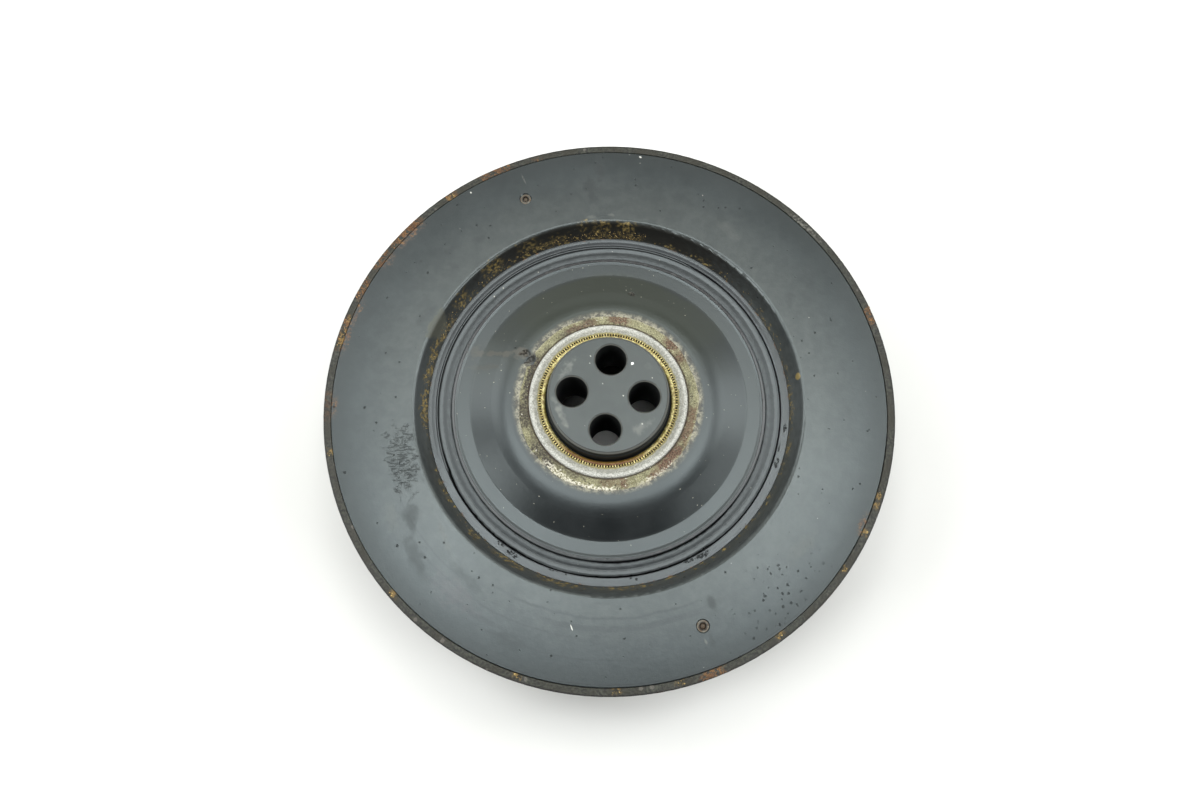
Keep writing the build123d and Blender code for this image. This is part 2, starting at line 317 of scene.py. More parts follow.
rough = dust * 0.08 + 0.28 + most(rusty, holes) * 0.4
height = streaks * 0.3 + rusty * rust["Height"] + dished - holes * 2
finish_skin(colour, rough, height, 0.00006)
dress("belt_pulley", pulley_steel)


# ---- Damper housing ----
# A drawn steel shell round the inertia ring, painted satin black. The bare end of its outer wall is
# the object's rim: brown-grey and speckled, with scale of orange-brown rust on the upper left.

rim_inner, rim_outer = 96.4, 99
# middle angle, half angle and, for the rust, its strength
rim_rust = [(159.5, 2.2, 0.9), (168, 1.6, 0.8), (151.8, 2.2, 1), (143.8, 4.4, 1), (131, 1.2, 0.7),
            (119.8, 3.4, 0.85), (110.3, 1, 0.5), (294.3, 2.4, 0.8), (22.3, 2, 0.7), (171, 3, 0.5),
            (186, 3, 0.4)]
rim_ochre = [(170.8, 2), (166.6, 0.8), (131.2, 1), (343.6, 0.7), (341.6, 0.6), (335.5, 0.6), (327, 0.7),
             (309, 0.7), (288, 0.7), (275.8, 0.7), (256.8, 0.7), (227.8, 0.7), (196, 0.8)]
housing_paint, tree = new_material("housing_paint", IOR=1.5, Specular_IOR_Level=0.3)
here = use("turned_place")
dust = mottle(7, 0.35, 0.7, 6)
colour = blend(dust, (34, 34, 35), (58, 57, 54))
on_rim = band(rim_inner - 0.3, rim_outer - 0.12, 0.15)
on_top = ease(here["Height"], 56.2, 57.2)
on_rim = on_rim * on_top
grain = mottle(0.9, 0.35, 0.65, 6, 5)
bare = blend(grain, (19, 20, 17), (52, 54, 45))
bare = blend(mottle(6, 0.4, 0.62, 5, 9) * 0.8, bare, (36, 35, 26))
colour = blend(on_rim, colour, bare)
outer_edge = band(98.4, 99.6, 0.5, Ragged=0.3) * on_top
colour = blend(outer_edge * 0.7, colour, (14, 13, 12))
rust = use("rust", Grain=1, Fresh=0.75)
scale_marks = arc_marks([(rim_inner - 0.5, rim_outer - 0.1, *row) for row in rim_rust], Edge=0.5, Fade=1.1,
                        Ragged=1.2, Grain=1.6)
broken = mottle(1.3, 0.42, 0.6, 7, 26)
rusty = scale_marks * on_top * broken
colour = blend(rusty * 0.8, colour, rust["Color"])
ochre = arc_marks([(rim_inner - 0.4, rim_outer - 1, middle, half, 1) for middle, half in rim_ochre],
                  Edge=0.6, Fade=0.6, Ragged=1.4, Grain=1.2) * on_top
colour = blend(ochre * broken * 0.6, colour, (132, 108, 62))
pale = band(96.4, 97.6, 0.5, Middle=46.5, Half=4, Fade=2, Ragged=2, Grain=1) * grain
colour = blend(pale * 0.4, colour, (140, 138, 130))
specks = speckle(1.6, 0.2, 0.22)
colour = blend(specks * on_rim, colour, (24, 22, 21))
side_rust = mottle(11, 0.56, 0.68, 8, 2) * ease(here["Height"], 40, 57, 0.3, 1)
side_rust = side_rust * (1 - on_rim)
colour = blend(side_rust * 0.75, colour, rust["Color"])
scuffs = speckle(3.1, 0.2, 0.2, 4)
colour = blend(scuffs * 0.5, colour, (96, 92, 86))
rough = 0.4 + dust * 0.12 + side_rust * 0.14 + on_rim * 0.04 + most(rusty, ochre) * 0.25
orange_peel = mottle(1.1, 0.3, 0.7, 1)
height = grain * on_rim + most(rusty, side_rust) * rust["Height"] + orange_peel * 0.12
finish_skin(colour, rough, height, 0.00008)
dress("damper_housing", housing_paint)


# ---- Housing cover ----
# A flat ring of sheet steel, flanged down to the pulley's neck and seamed into the housing's rim.
# Satin black paint, dusty, with smears, pits, a worn circle and rust dust at the foot of the flange.

dark_smears = [(80.8, 99, 8, 15, 7, 0.8), (89, 96.5, 4, 13, 4.6, 0.85), (92.5, 133, 80, 3.4, 4.4, 0.7),
               (76.4, 132, 60, 7, 4, 0.5), (80.6, 140, 75, 9, 4, 0.45), (75.5, 142.5, 20, 6, 3.4, 0.4),
               (85.7, 147, 80, 2.4, 1.6, 0.7), (77.5, 300, 10, 6, 4, 0.55), (86, 37, 60, 13, 8, 0.4),
               (74.4, 33.5, 30, 8, 5, 0.4), (88, 296.6, 0, 9, 2.2, 0.5), (90, 163, 70, 18, 5, 0.3),
               (72, 160, 80, 16, 5, 0.3), (78.5, 216.5, 60, 13, 7, 0.55), (84, 225, 75, 22, 6, 0.35),
               (88, 253, 85, 16, 6, 0.35), (78, 238, 80, 20, 5, 0.25)]
pale_smears = [(90.3, 114.6, 5, 6.5, 0.7, 0.7), (87.8, 295.3, 5, 2.2, 1.2, 0.9), (73, 226, 70, 16, 3, 0.3),
               (84, 214, 75, 14, 6, 0.25), (77.5, 60, 80, 14, 6, 0.2), (82, 325, 85, 18, 7, 0.25),
               (69.5, 99.5, 80, 5, 2.2, 0.55), (70.3, 93.5, 75, 4, 1.8, 0.5)]
cover_paint, tree = new_material("cover_paint", IOR=1.5, Specular_Tint=(0.88, 1, 1, 1))
here = use("turned_place")
cloud = mottle(26, 0.3, 0.7, 3)
dust = mottle(3.2, 0.3, 0.75, 8, 11)
colour = blend(cloud, (24, 28, 29), (34, 38, 39))
colour = blend(dust * 0.35, colour, (48, 52, 52))
dusty = ease(here["Radius"], 92, 70, 0, 0.75)
colour = blend(dusty, colour, blend(dust, (50, 53, 52), (60, 63, 61)))
dulled = ease(here["Radius"], 86, 96)
colour = blend(dulled * 0.7, colour, (16, 18, 18))
dark = oval_marks(dark_smears, 0.75, 0.35)
colour = blend(dark, colour, (18, 19, 19))
worn_arcs = arc_marks([(81.2, 81.9, 246, 20, 1), (84.6, 86.2, 236, 16, 1), (78.2, 78.8, 222, 14, 1),
                       (87.6, 88.1, 262, 18, 1), (77.2, 79, 278, 20, 1)], Edge=0.6, Fade=8, Ragged=0.7,
                      Grain=9)
colour = blend(worn_arcs * 0.42, colour, (20, 20, 22))
lilac = oval(84, 237, 83, 24, 11, 0.9, 0.5)
colour = blend(lilac * 0.35, colour, (58, 50, 52))
pale = oval_marks(pale_smears, 0.75, 0.4)
colour = blend(pale * 0.45, colour, (106, 106, 99))
circle = band(74.4, 75.1, 1, Middle=272, Half=24, Fade=6, Ragged=0.8, Grain=6) * 0.6
colour = blend(circle, colour, (22, 23, 24))
hatch = oval(73.6, 201.6, -93.6, 25, 12, 0.4, 0.45)
strokes = most(use("strokes", Turn=8, Long=2.6, Thin=0.55),
               use("strokes", Turn=84, Long=3.4, Thin=0.6, Low=0.54, High=0.64) * 0.6)
hatched = hatch * (0.12 + strokes * 0.7)
colour = blend(hatched * 0.6, colour, (20, 20, 21))
pitted = oval(86, 316, -270, 46, 24, 0.8, 0.3)
pits = speckle(1.5, 0.21, 0.7, 3)
few_pits = speckle(2.6, 0.11, 0.3, 17)
pits = most(pits * pitted, few_pits)
colour = blend(pits * 0.9, colour, (8, 8, 8))
white = speckle(4, 0.03, 0.12, 23)
colour = blend(white * 0.7, colour, (150, 150, 142))
white_marks = oval_marks([(78.5, 265.6, 30, 2.5, 0.42, 1), (95, 87, 60, 1.3, 0.9, 1),
                          (94.6, 127, 0, 0.9, 0.7, 1)], 0.4, 0.2)
colour = blend(white_marks * 0.85, colour, (190, 190, 182))
rust = use("rust", Grain=0.8, Fresh=0.7)
spill_arcs = [(143.8, 3.4), (170.5, 3), (164.5, 2), (151.5, 1.2), (186, 1.5), (337, 1.6)]
spill = arc_marks([(94.6, 97, middle, half, 1) for middle, half in spill_arcs], Edge=1.6, Fade=2, Ragged=2.4,
                  Grain=1.4)
spill = spill * mottle(1.4, 0.4, 0.6, 6, 19)
foot = band(64, 65.1, 0.5, Ragged=1, Grain=2)
foot = foot * mottle(1.6, 0.54, 0.66, 6, 6)
wall_rust = [(65.6, 68.3, 96.5, 2.2, 1), (65.2, 67.6, 88.5, 2.4, 0.9), (65.9, 68.6, 102, 1, 0.8),
             (64.9, 67.4, 134, 3.2, 1), (65, 66.8, 148.5, 2.6, 0.9), (65.3, 67.2, 121, 3, 0.6),
             (64.4, 66, 114, 6, 0.6), (64.2, 65.2, 92, 9, 0.7), (64.2, 65.8, 186.5, 5, 1),
             (64.2, 65.9, 171, 7, 1), (64.2, 65.6, 161, 6, 0.9), (64.2, 65.3, 213, 3, 0.7),
             (64.3, 66.2, 230, 1.6, 0.9), (64.3, 65.6, 243, 5, 0.8), (64.3, 65.8, 259, 6, 0.8),
             (64.3, 65.5, 278, 5, 0.5), (64.2, 65.3, 349, 1.6, 0.9), (64.2, 65, 4, 4, 0.7),
             (64.2, 65, 62, 1.6, 0.5), (64.2, 65, 33, 2, 0.5)]
far_wall = arc_marks(wall_rust, Edge=0.7, Fade=1.6, Ragged=1.8, Grain=1.6)
far_wall = far_wall * mottle(1.5, 0.41, 0.6, 7, 14)
# Painted shade: the flange wall is darkened towards brown-black over the far side, round 98 degrees.
painted_far_wall_shade = band(64, 67.6, 0.8, Middle=98, Half=52, Fade=24, Ragged=0.6)
colour = blend(painted_far_wall_shade * 0.8, colour, (26, 23, 19))
brownish = band(64, 66.4, 1.2, Middle=278, Half=100, Fade=30, Ragged=0.6)
colour = blend(brownish * 0.3, colour, (50, 50, 42))
# Painted reflection: the flange wall is lightened on two opposite arcs, round 3 and 184 degrees, where it
# faces the side lights.
painted_wall_sheen = arc_marks([(64.6, 68, 3, 10, 1), (64.6, 68, 184, 14, 1)], Edge=0.8, Fade=16)
colour = blend(painted_wall_sheen * 0.8, colour, (64, 68, 68))
ochre_spot = oval(67, 11.3, 89.7, 2.7, 1.5, 0.3, 0.2)
colour = blend(ochre_spot * 0.9, colour, (122, 106, 62))
olive = blend(mottle(1, 0.35, 0.65, 5, 40), (50, 42, 24), (134, 116, 66))
colour = blend(most(foot, far_wall) * 0.85, colour, olive)
colour = blend(spill * 0.9, colour, rust["Color"])
film = oval(67.2, 160.2, 89.8, 13, 4.8, 0.25, 0.25) * 0.85
colour = blend(film, colour, (68, 68, 59))
joint = band(95.3, 95.65, 0.25, Middle=277, Half=50, Fade=14, Ragged=0.2)
colour = blend(joint * 0.85, colour, (9, 9, 9))
rough = 0.285 + cloud * 0.03 + dark * 0.17 + most(pale, dulled * 0.5) * 0.1
rough = rough + most(spill, foot, far_wall, ochre_spot) * 0.25 + most(film, pits, hatched) * 0.3
marks = use("turning_marks", Fineness=0.9, Turns=3)
orange_peel = mottle(1.6, 0.25, 0.75, 2)
grainy = mottle(0.6, 0.3, 0.7, 2, 61)
height = (orange_peel + grainy * 0.5) * 0.10 + marks * 0.06 - most(pits, hatched) * 1.6
height = height + most(spill, foot, far_wall) * rust["Height"] * 0.8
finish_skin(colour, rough, height, 0.00008)
dress("housing_cover", cover_paint)


# ---- Sealing plugs ----
# Two small steel sleeves pressed into the cover's filling holes, each closed by a ball driven into
# it. Bare steel, dull, with brown rust round the ball and on the sleeve's end.

plug_circle, plug_angles = 82.9, (116, 296)
plug_steel, tree = new_material("plug_steel", Metallic=0.35)
rust = use("rust", Grain=0.7, Fresh=0.45)
stain = mottle(1.1, 0.38, 0.6, 5)
colour = blend(stain * 0.45, (96, 93, 82), rust["Color"])
for angle in plug_angles:
    wide, narrow = (oval(plug_circle, angle, -angle, size, size, 0.3, 0.1) for size in (3.6, 2.3))
    ring = calc("SUBTRACT", wide, narrow, clamp=True)
    colour = blend(ring * 0.8, colour, (20, 17, 15))
finish_skin(colour, 0.45 + stain * 0.3, rust["Height"], 0.00008)
dress("fill_plug_sleeve", plug_steel)
dress("vent_plug_sleeve", plug_steel)
plug_ball_steel, tree = new_material("plug_ball_steel", Metallic=0.3)
rust = use("rust", Grain=0.5, Fresh=0.3)
stain = mottle(0.8, 0.3, 0.6, 5, 8)
colour = blend(stain * 0.3, (62, 57, 47), rust["Color"])
finish_skin(colour, 0.42 + stain * 0.3, rust["Height"], 0.00006)
dress("fill_plug_ball", plug_ball_steel)
dress("vent_plug_ball", plug_ball_steel)


# ---- Inertia ring, radial bush and thrust rings ----
# The heavy ring is turned from cast iron and lies in silicone fluid inside the closed housing. A
# plastic bush and two plastic rings let into its faces keep it off the housing's walls.

ring_iron, tree = new_material("ring_iron", Metallic=0.7)
marks = use("turning_marks", Fineness=9, Turns=5)
flakes = speckle(0.9, 0.3, 0.5)
colour = blend(marks, (98, 98, 100), (140, 140, 140))
colour = blend(flakes * 0.4, colour, (60, 60, 62))
finish_skin(colour, 0.28 + marks * 0.2, marks, 0.00005)
dress("inertia_ring", ring_iron)
bush_plastic, tree = new_material("bush_plastic", Subsurface_Weight=0.1)
marks = use("turning_marks", Fineness=4, Turns=4)
stain = mottle(8, 0.35, 0.7)
colour = blend(stain, (226, 218, 198), (206, 190, 158))
finish_skin(colour, 0.36 + marks * 0.2, marks, 0.00003)
for node in ("radial_bush", "thrust_ring_front", "thrust_ring_rear"):
    dress(node, bush_plastic)


# ---- Isolator sleeve ----
# A steel tube bonded inside the rubber ring and pressed over the rim of the hub disc. Its thin black
# coating is rubbed to grey at the rolled end.

sleeve_steel, tree = new_material("sleeve_steel", IOR=1.5)
streaks = use("turning_marks", Fineness=3, Turns=7)
chips = mottle(1.2, 0.5, 0.68, 6)
colour = blend(streaks, (46, 49, 50), (66, 70, 71))
# Painted shade: the sleeve's end is darkened over the far side, round 97 degrees.
painted_far_shade = band(54, 57, 0.5, Middle=97, Half=66, Fade=14)
colour = blend(painted_far_shade * 0.85, colour, (20, 21, 22))
colour = blend(chips * 0.35, colour, (84, 86, 84))
specks = speckle(2, 0.2, 0.3)
colour = blend(specks, colour, (16, 16, 16))
rough = 0.38 + chips * 0.2
height = streaks - specks * 0.8 - use("turned_place")["Radius"] * 4
finish_skin(colour, rough, height, 0.00005)
dress("isolator_sleeve", sleeve_steel)


# ---- Rubber ring ----
# Black rubber, moulded between the pulley's neck and the isolator sleeve. Its end is weathered grey.
# It has torn off the neck in a ragged crack, and a groove has opened along the sleeve.

rubber_inner, rubber_outer = 55.6, 60.8
rubber_front, rubber_end = 29, 50.4
rubber_steps = 1080


def rough_line(angle, radius, grain, seed):
    """Noise in -1..1 along a circle, with a grain in mm."""
    return noise.noise(Vector((radius / grain * math.cos(angle), radius / grain * math.sin(angle), seed)))


def window(angle, middle, half, fade):
    """1 inside an arc, falling to 0 over the fade. All in degrees."""
    away = abs((math.degrees(angle) - middle + 180) % 360 - 180)
    return min(1, max(0, (half + fade - away) / fade))


def turned_point(shape, radius, angle, height):
    """A corner of a mesh in the making, from its place in mm."""
    return shape.verts.new((radius * math.cos(angle) / MM, radius * math.sin(angle) / MM, height / MM))


def plain_mesh(name, shape):
    mesh = bpy.data.meshes.new(name)
    shape.to_mesh(mesh)
    shape.free()
    return mesh


def set_out(name, data):
    """Puts a new object in the scene."""
    made = bpy.data.objects.new(name, data)
    bpy.context.scene.collection.objects.link(made)
    return made


def turned_mesh(name, outline, steps, material):
    """A closed ring from an outline of (radius, height) in mm, which may change with the angle."""
    shape = bmesh.new()
    loops = []
    for i in range(steps):
        angle = 2 * math.pi * i / steps
        loops.append([turned_point(shape, r, angle, z) for r, z in outline(angle)])
    for i in range(steps):
        here, there = loops[i], loops[(i + 1) % steps]
        for j in range(len(here)):
            k = (j + 1) % len(here)
            shape.faces.new((here[j], there[j], there[k], here[k]))
    bmesh.ops.recalc_face_normals(shape, faces=shape.faces)
    for face in shape.faces:
        face.smooth = True
    made = set_out(name, plain_mesh(name, shape))
    made.data.materials.append(material)
    return made


# the rubber's end from the groove to the crack: radius, and depth below its highest circle
end_profile = [(56.35, 0.05), (56.75, 0), (57.2, 0.02), (57.7, 0.08), (58.2, 0.17), (58.7, 0.25), (59, 0.26),
               (59.3, 0.21), (59.7, 0.1), (60.05, 0.02), (60.35, 0)]


def torn_outline(angle):
    """The rubber's outline at one angle: groove by the sleeve, dished and ridged end, ragged crack."""
    near = max(window(angle, 295, 20, 14), 0.4 * window(angle, 262, 20, 14))
    torn = max(0.1, window(angle, 284, 14, 8), window(angle, 228, 20, 8),
               0.5 * window(angle, 305, 5, 5))
    inward = window(angle, 137, 70, 8)
    shift = 0.45 * (1 - window(angle, 37, 45, 20))
    groove = 0.08 + 0.44 * near + 0.05 * rough_line(angle, 56, 3, 1)
    groove = max(0.04, groove + (0.03 + 0.12 * near) * rough_line(angle, 56, 0.9, 2))
    groove_floor = rubber_end - 0.25 - 3.3 * near
    tear = 0.01 + 0.03 * abs(rough_line(angle, 61, 5, 3))
    tear += (0.06 + 0.34 * torn) * max(0, rough_line(angle, 61, 1.3, 4))
    tear += 0.32 * torn * (0.5 + 0.5 * abs(rough_line(angle, 61, 1.6, 5)))
    tear += 0.7 * window(angle, 305, 2.5, 3) * abs(rough_line(angle, 61, 0.8, 6))
    tear += 0.6 * window(angle, 241, 3, 3) * abs(rough_line(angle, 61, 0.8, 7))
    start, rim = rubber_inner + groove, rubber_outer - tear - 0.42 * inward
    outline = [(rubber_inner, rubber_front), (rubber_inner, groove_floor - 2),
               (rubber_inner + 0.02, groove_floor), (rubber_inner + 0.5 * groove, groove_floor - 0.1),
               (start - 0.01, groove_floor + 0.08), (start, rubber_end - 0.3),
               (start + 0.06, rubber_end - 0.2), (start + 0.14, rubber_end - 0.12)]
    for k, (r, depth) in enumerate(end_profile):
        r -= shift * min(1, max(0, (r - 57.7) / 1.3))
        r = min(r, rim - 0.3 + 0.015 * k)
        wave = 0.012 * noise.noise(Vector((r * 2.2, 60 * math.cos(angle), 60 * math.sin(angle))))
        outline.append((r, rubber_end - depth - 0.012 + wave))
    strata = 0.1 * rough_line(angle, 60, 2, 8) * (0.3 + 0.7 * torn)
    gutter = rubber_end - 0.2 * shift
    outline += [(min(60.6, rim - 0.1), gutter - 0.03), (rim - 0.04, gutter - 0.08 + 0.3 * strata),
                (rim, gutter - 0.16 - 0.2 * torn + strata)]
    shelf = 0.4 * tear * abs(rough_line(angle, 61, 2.4, 9))
    torn_floor = rubber_end - 0.32 - 3.4 * torn - 0.6 * inward
    outline += [(rim + 0.2 * shelf, torn_floor + 2.4 * torn),
                (rim + 0.6 * shelf, torn_floor + 1.6 * torn + 0.5 * strata),
                (rim + shelf * 0.4, torn_floor + 0.8 * torn)]
    strip, strip_top = rubber_outer - 0.03 * inward, torn_floor + inward * (rubber_end - 0.08 - torn_floor)
    outer_wall = rubber_outer + 0.04 + 0.23 * inward
    outline += [(min(strip, rim + shelf + 0.1), torn_floor), (strip, torn_floor - 0.05),
                (strip + 0.01, strip_top - 0.05 * inward),
                (strip + 0.03 + 0.05 * inward, strip_top + 0.5 * inward * strata),
                (outer_wall, strip_top), (outer_wall, rubber_front)]
    return outline


isolator_rubber, tree = new_material("isolator_rubber", IOR=1.5, Specular_Tint=(0.9, 1, 1, 1))
here = use("turned_place")
streaks = use("turning_marks", Fineness=2.2, Turns=9)
bloom = mottle(2, 0.3, 0.7, 7)
on_end = ease(here["Height"], 49.8, 50.06)
weathered = blend(bloom, (34, 37, 38), (54, 57, 58))
weathered = blend(ease(streaks, 0.4, 0.65) * 0.5, weathered, (34, 35, 38))
colour = blend(on_end, (14, 14, 15), weathered)
# Painted shade and highlight: the inner slope of the dished end is darkened, and the outer slope up to the
# ridge is lightened.
painted_valley_shade = band(57.5, 58.8, 0.6, Ragged=0.2)
colour = blend(painted_valley_shade * on_end * 0.6, colour, (26, 28, 29))
painted_ridge_highlight = band(58.9, 60, 0.3, Ragged=0.2)
colour = blend(painted_ridge_highlight * on_end * 0.6, colour, (76, 80, 81))
gutter = band(59.95, 60.65, 0.25, Ragged=0.3, Grain=1.5, Middle=217, Half=120, Fade=20)
gutter = gutter * on_end
colour = blend(gutter * 0.4, colour, (22, 24, 25))
strip = band(60.78, 61.3, 0.1) * on_end
colour = blend(strip * 0.8, colour, (88, 92, 92))
grit = speckle(2.4, 0.11, 0.4)
colour = blend(grit * on_end, colour, (14, 14, 14))
pale_grit = speckle(3, 0.05, 0.25, 9)
colour = blend(pale_grit * on_end, colour, (170, 168, 158))
rough = 0.62 - on_end * 0.24 + most(bloom, gutter * 1.2) * 0.08
height = streaks * 0.7 + bloom * 0.5
finish_skin(colour, rough, height, 0.00008)
torn_rubber = turned_mesh("torn_rubber_ring", torn_outline, rubber_steps, isolator_rubber)
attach(torn_rubber, "hub")
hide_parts("isolator_rubber")


# ---- Hub disc ----
# Sheet steel pressed to a shallow dish with its rim turned forward, in satin black. White specks of
# dust lie on it, and a dull brownish film runs out from the crust to the left.

disc_paint, tree = new_material("disc_paint", IOR=1.5, Specular_Tint=(0.88, 1, 1, 1))
here = use("turned_place")
cloud = mottle(14, 0.3, 0.7, 4)
colour = blend(cloud, (18, 20, 21), (26, 28, 29))
olive = band(33, 49, 3, Ragged=3, Grain=20, Middle=98, Half=62, Fade=30)
colour = blend(olive * 0.65, colour, (31, 33, 18))
on_band = band(48.6, 55.5, 1)
colour = blend(on_band * 0.35, colour, (50, 53, 53))
# Painted highlight: the disc's turned-up edge, R 54.3 to 56 mm, is lightened all round.
painted_edge_highlight = band(54.3, 56, 0.4)
colour = blend(painted_edge_highlight * 0.8, colour, (76, 80, 80))
film = oval_marks([(43.5, 159.8, 18, 23, 2.8, 0.6), (36, 155, 30, 7, 5, 0.7), (52, 162.5, 85, 8, 4, 0.4),
                   (46, 168, 12, 14, 2.8, 0.25)], 0.6, 0.6)
film = film * here["Upward"]
colour = blend(film, colour, (68, 63, 54))
near_crust = band(27, 33, 2.2, Ragged=0.8, Grain=4)
broken_off = band(27, 36, 0.5, Middle=155.5, Half=3.5, Fade=2.5, Ragged=0.6)
near_crust = calc("SUBTRACT", near_crust, broken_off, clamp=True) * here["Upward"]
near_crust = near_crust * mottle(0.6, 0.2, 0.62, 6, 12)
stain = blend(mottle(2, 0.4, 0.6, 4, 21), (88, 80, 66), (170, 164, 140))
colour = blend(near_crust * 0.62, colour, stain)
chip = oval_marks([(41.6, 82.5, 85, 2.8, 1.5, 1), (33.8, 152.8, 30, 3.4, 2.4, 1),
                   (35.8, 155.4, 60, 2, 1.4, 1), (31.4, 155.8, 85, 4.6, 3, 1),
                   (38.6, 153.6, 20, 1.4, 0.8, 1)], 0.5, 0.6)
crumbs = mottle(0.8, 0.42, 0.56, 5, 33)
chip = chip * here["Upward"] * ease(crumbs, 0, 1, 0.35, 1)
colour = blend(chip * 0.9, colour, blend(crumbs, (82, 74, 62), (24, 20, 16)))
white = speckle(2, 0.06, 0.4, 23)
colour = blend(white * 0.9, colour, (150, 148, 134))
marks = use("turning_marks", Fineness=1.2, Turns=3)
rough = 0.285 + cloud * 0.03 + most(film, near_crust, white) * 0.22 + chip * 0.6
orange_peel = mottle(1.4, 0.25, 0.75, 2)
turned_up = calc("MULTIPLY", here["Radius"] - 53.5, 0.9, clamp=True)
height = orange_peel * 0.10 + marks * 0.05 + near_crust * 0.6 - chip * 2.5 + turned_up * 3.4
finish_skin(colour, rough, height, 0.00008)
dress("hub_disc", disc_paint)


# ---- Corrosion crust ----
# White and brown corrosion that has grown out of the joint between the collar and the disc, as a
# thin ragged crust on the disc's flat middle. It is thickest beside the collar.

crust_inner, crust_foot = 27.92, 54.66
crust_steps, crust_rows = 960, 13


def crust_outline(angle):
    """The crust's outline: a bumpy top that runs out to nothing, and a flat foot on the disc."""
    width = 3.6 + 0.5 * rough_line(angle, 30, 9, 20) + 0.14 * rough_line(angle, 30, 2.4, 21)
    width += (0.5 * window(angle, 262, 40, 30) - 1.9 * window(angle, 155.5, 2.6, 3)
              - 0.5 * window(angle, 178, 10, 8))
    top, foot = [], []
    for k in range(crust_rows):
        share = k / (crust_rows - 1)
        r = crust_inner + width * share
        place = Vector((r * math.cos(angle), r * math.sin(angle), 0))
        bumps = 0.5 + 0.5 * noise.noise(place * 1.9) + 0.35 * noise.noise(place * 4.5 + Vector((0, 0, 5)))
        patchy = 0.55 + 0.6 * noise.noise(place * 0.35 + Vector((0, 0, 9)))
        thick = 0.05 + 0.42 * max(0.05, bumps) * max(0.15, patchy) * (1 - share ** 3)
        top.append((r, crust_foot + 0.04 + (thick if share < 1 else 0.03)))
        foot.append((r, crust_foot))
    return top + foot[::-1]


brown_patches = [(28, 31.2, 346, 13, 0.8), (28, 31.5, 320, 11, 1), (28.8, 31.9, 87, 7, 0.95),
                 (28.8, 32.2, 47, 5.5, 0.95), (28.2, 32.2, 36, 4, 0.85), (28, 31.4, 283.5, 2.6, 1),
                 (29.6, 34.5, 305, 4, 0.9), (28, 30.4, 275, 7, 0.5), (28, 30.6, 113, 11, 0.6)]
grey_patches = [(28, 31.6, 225, 11, 0.95), (28, 32, 194, 9, 0.95), (28, 30.3, 170, 20, 1),
                (28, 36, 154.5, 4, 1), (28, 30, 118, 12, 0.7), (28, 32, 109, 3.5, 0.8),
                (28, 29.6, 335, 9, 0.5), (28, 29.4, 6, 12, 0.45), (28, 29.7, 200, 60, 0.6),
                (28, 31, 323, 9, 0.5)]
white_edges = [(31, 33.6, 262, 17, 1), (31, 33, 308, 13, 0.6), (30, 32.6, 238, 8, 0.7)]
crust_salt, tree = new_material("corrosion_crust")
fine = mottle(0.7, 0.3, 0.7, 6, 4)
grit = mottle(0.32, 0.38, 0.62, 3, 14)
colour = blend(mottle(4, 0.35, 0.65, 4, 2), (122, 119, 86), (158, 156, 120))
colour = blend(fine * 0.5, colour, (194, 192, 158))
colour = blend(grit * 0.6, colour, (66, 62, 44))
outer = band(31.2, 34, 0.8, Ragged=0.8, Grain=1.2, Middle=60, Half=130, Fade=20)
colour = blend(outer * fine * 0.6, colour, (186, 182, 158))
for patches, low_tone, high_tone in ((grey_patches, (32, 30, 26), (86, 80, 70)),
                                     (brown_patches, (54, 36, 28), (124, 96, 78))):
    masks = arc_marks(patches, Edge=0.8, Fade=3, Ragged=2.2, Grain=1.6)
    colour = blend(masks * ease(fine, 0.95, 0.35, 0.55, 1), colour, blend(grit, low_tone, high_tone))
white_edge = arc_marks(white_edges, Edge=0.8, Fade=4, Ragged=1.6, Grain=1) * ease(fine, 0.2, 0.6)
colour = blend(white_edge, colour, (226, 222, 204))
by_collar = band(27, 28.5, 0.5, Ragged=0.4)
colour = blend(by_collar * 0.8, colour, (52, 40, 30))
specks = speckle(0.8, 0.28, 0.4)
colour = blend(specks * 0.75, colour, (50, 44, 34))
sparkle = speckle(0.9, 0.2, 0.12, 6)
colour = blend(sparkle * 0.8, colour, (222, 218, 202))
finish_skin(colour, 0.85 - most(sparkle, white_edge) * 0.4, fine + grit + sparkle, 0.00018)
crust = turned_mesh("corrosion_crust", crust_outline, crust_steps, crust_salt)
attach(crust, "hub")


# ---- Hub ----
# A forged boss with a flange, black phosphated, and drilled for four crankshaft bolts. The boss face
# is rubbed grey, with pale smudges near its edge. The sides and the insides of the holes are darkened
# as painted shade, and the chamfer is lightened as a painted highlight.

hub_black, tree = new_material("hub_black", IOR=1.5, Specular_Tint=(0.9, 1, 0.98, 1))
here = use("turned_place")
cloud = mottle(7, 0.3, 0.7, 5)
colour = blend(cloud, (30, 33, 33), (41, 44, 43))
on_boss = ease(here["Height"], 61.9, 62.25)
painted_chamfer_highlight = ease(here["Height"], 61.2, 61.7) * ease(here["Height"], 62.28, 62.1)
# Painted shade: off the boss face and its chamfer, the boss's sides and the insides of the bolt holes are
# darkened to near black.
colour = blend(1 - most(on_boss, painted_chamfer_highlight), colour, (11, 11, 11))
smudge = oval_marks([(17, 150, 85, 12, 4, 0.7), (17.6, 208, 92, 16, 3.2, 0.7), (16.4, 319, 85, 10, 4.6, 0.5),
                     (17, 40, 80, 4, 3, 0.2)], 0.8, 0.5)
mealy = mottle(2.2, 0.2, 0.75, 6, 3)
smudge = smudge * mealy * on_boss
colour = blend(smudge * 0.7, colour, (132, 134, 126))
dot = oval(13.9, 57, -57, 1.1, 1, 0.3, 0.1)
specks = speckle(2.4, 0.09, 0.25, 2)
colour = blend(specks * on_boss, colour, (170, 170, 160))
